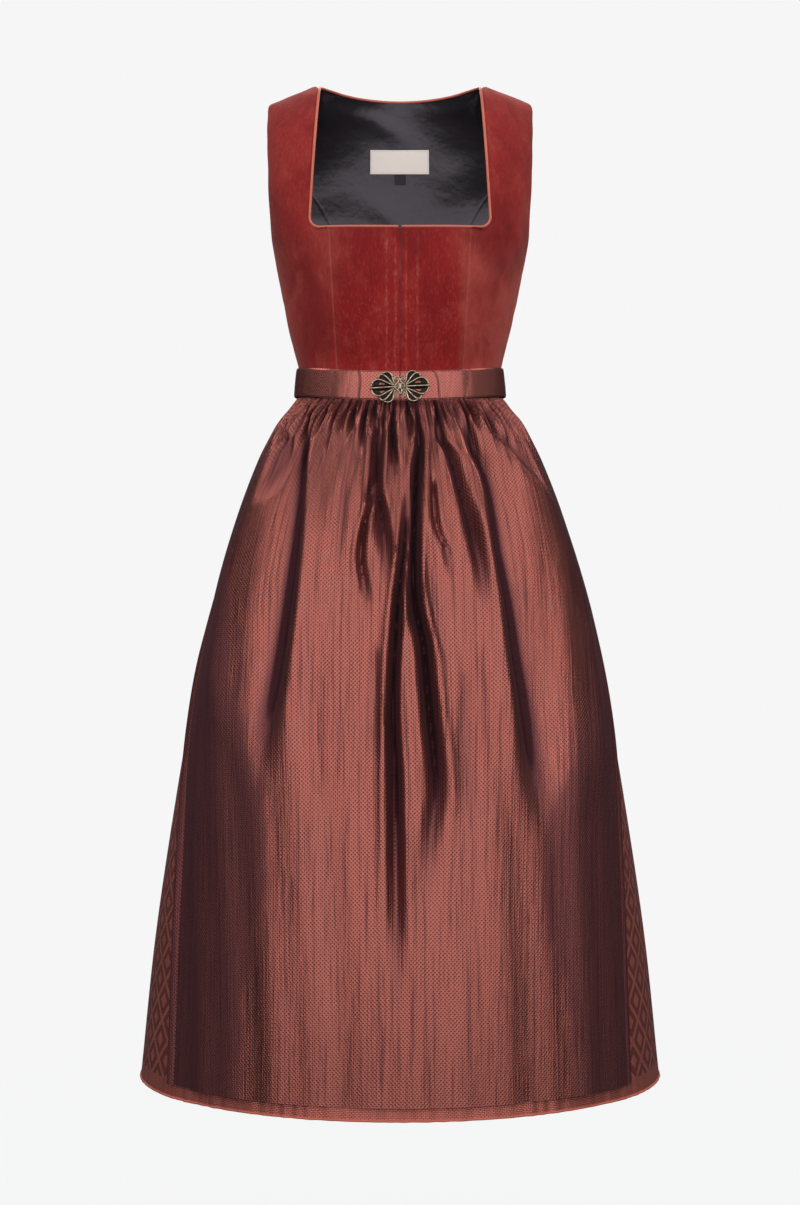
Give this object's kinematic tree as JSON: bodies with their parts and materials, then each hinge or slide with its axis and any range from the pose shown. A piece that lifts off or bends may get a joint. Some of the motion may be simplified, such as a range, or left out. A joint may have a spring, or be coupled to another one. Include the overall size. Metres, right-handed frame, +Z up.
{
  "type": "sleeveless dirndl with apron",
  "caption": "Sleeveless velvet bodice with a square neck, a gathered ankle skirt and a gathered apron with a waistband and filigree clasp.",
  "frame": {"origin": "midway between the neck ends of the two shoulder seams, where the wearer's shoulders carry the dress", "axes": "+Z up, the front of the dress faces -Y, +X to the right of someone who looks at the front"},
  "size_m": [0.6191, 0.6096, 1.1836],
  "materials": {
    "velvet": "rust-red cotton velvet",
    "lining": "charcoal satin lining",
    "piping": "coral satin bias piping",
    "label": "bare woven label",
    "tab": "bare woven tab",
    "skirt": "brown-red jacquard with a diamond lattice",
    "apron": "copper and plum shot taffeta",
    "clasp": "antique silvered filigree"
  },
  "bodies": {
    "root": {"bodice_front_centre_left": "velvet", "bodice_front_centre_right": "velvet", "bodice_front_side_left": "velvet", "bodice_front_side_right": "velvet", "bodice_side_back_left": "velvet", "bodice_side_back_right": "velvet", "bodice_back": "velvet", "lining_side_back_left": "lining", "lining_side_back_right": "lining", "lining_back": "lining", "neck_piping": "piping", "neck_label": "label", "size_tab": "tab", "skirt_front": "skirt", "skirt_back": "skirt", "hem_piping": "piping", "apron_panel": "apron", "apron_band": "apron", "clasp_left": "clasp", "clasp_right": "clasp", "clasp_boss": "clasp"}
  },
  "joints": []
}
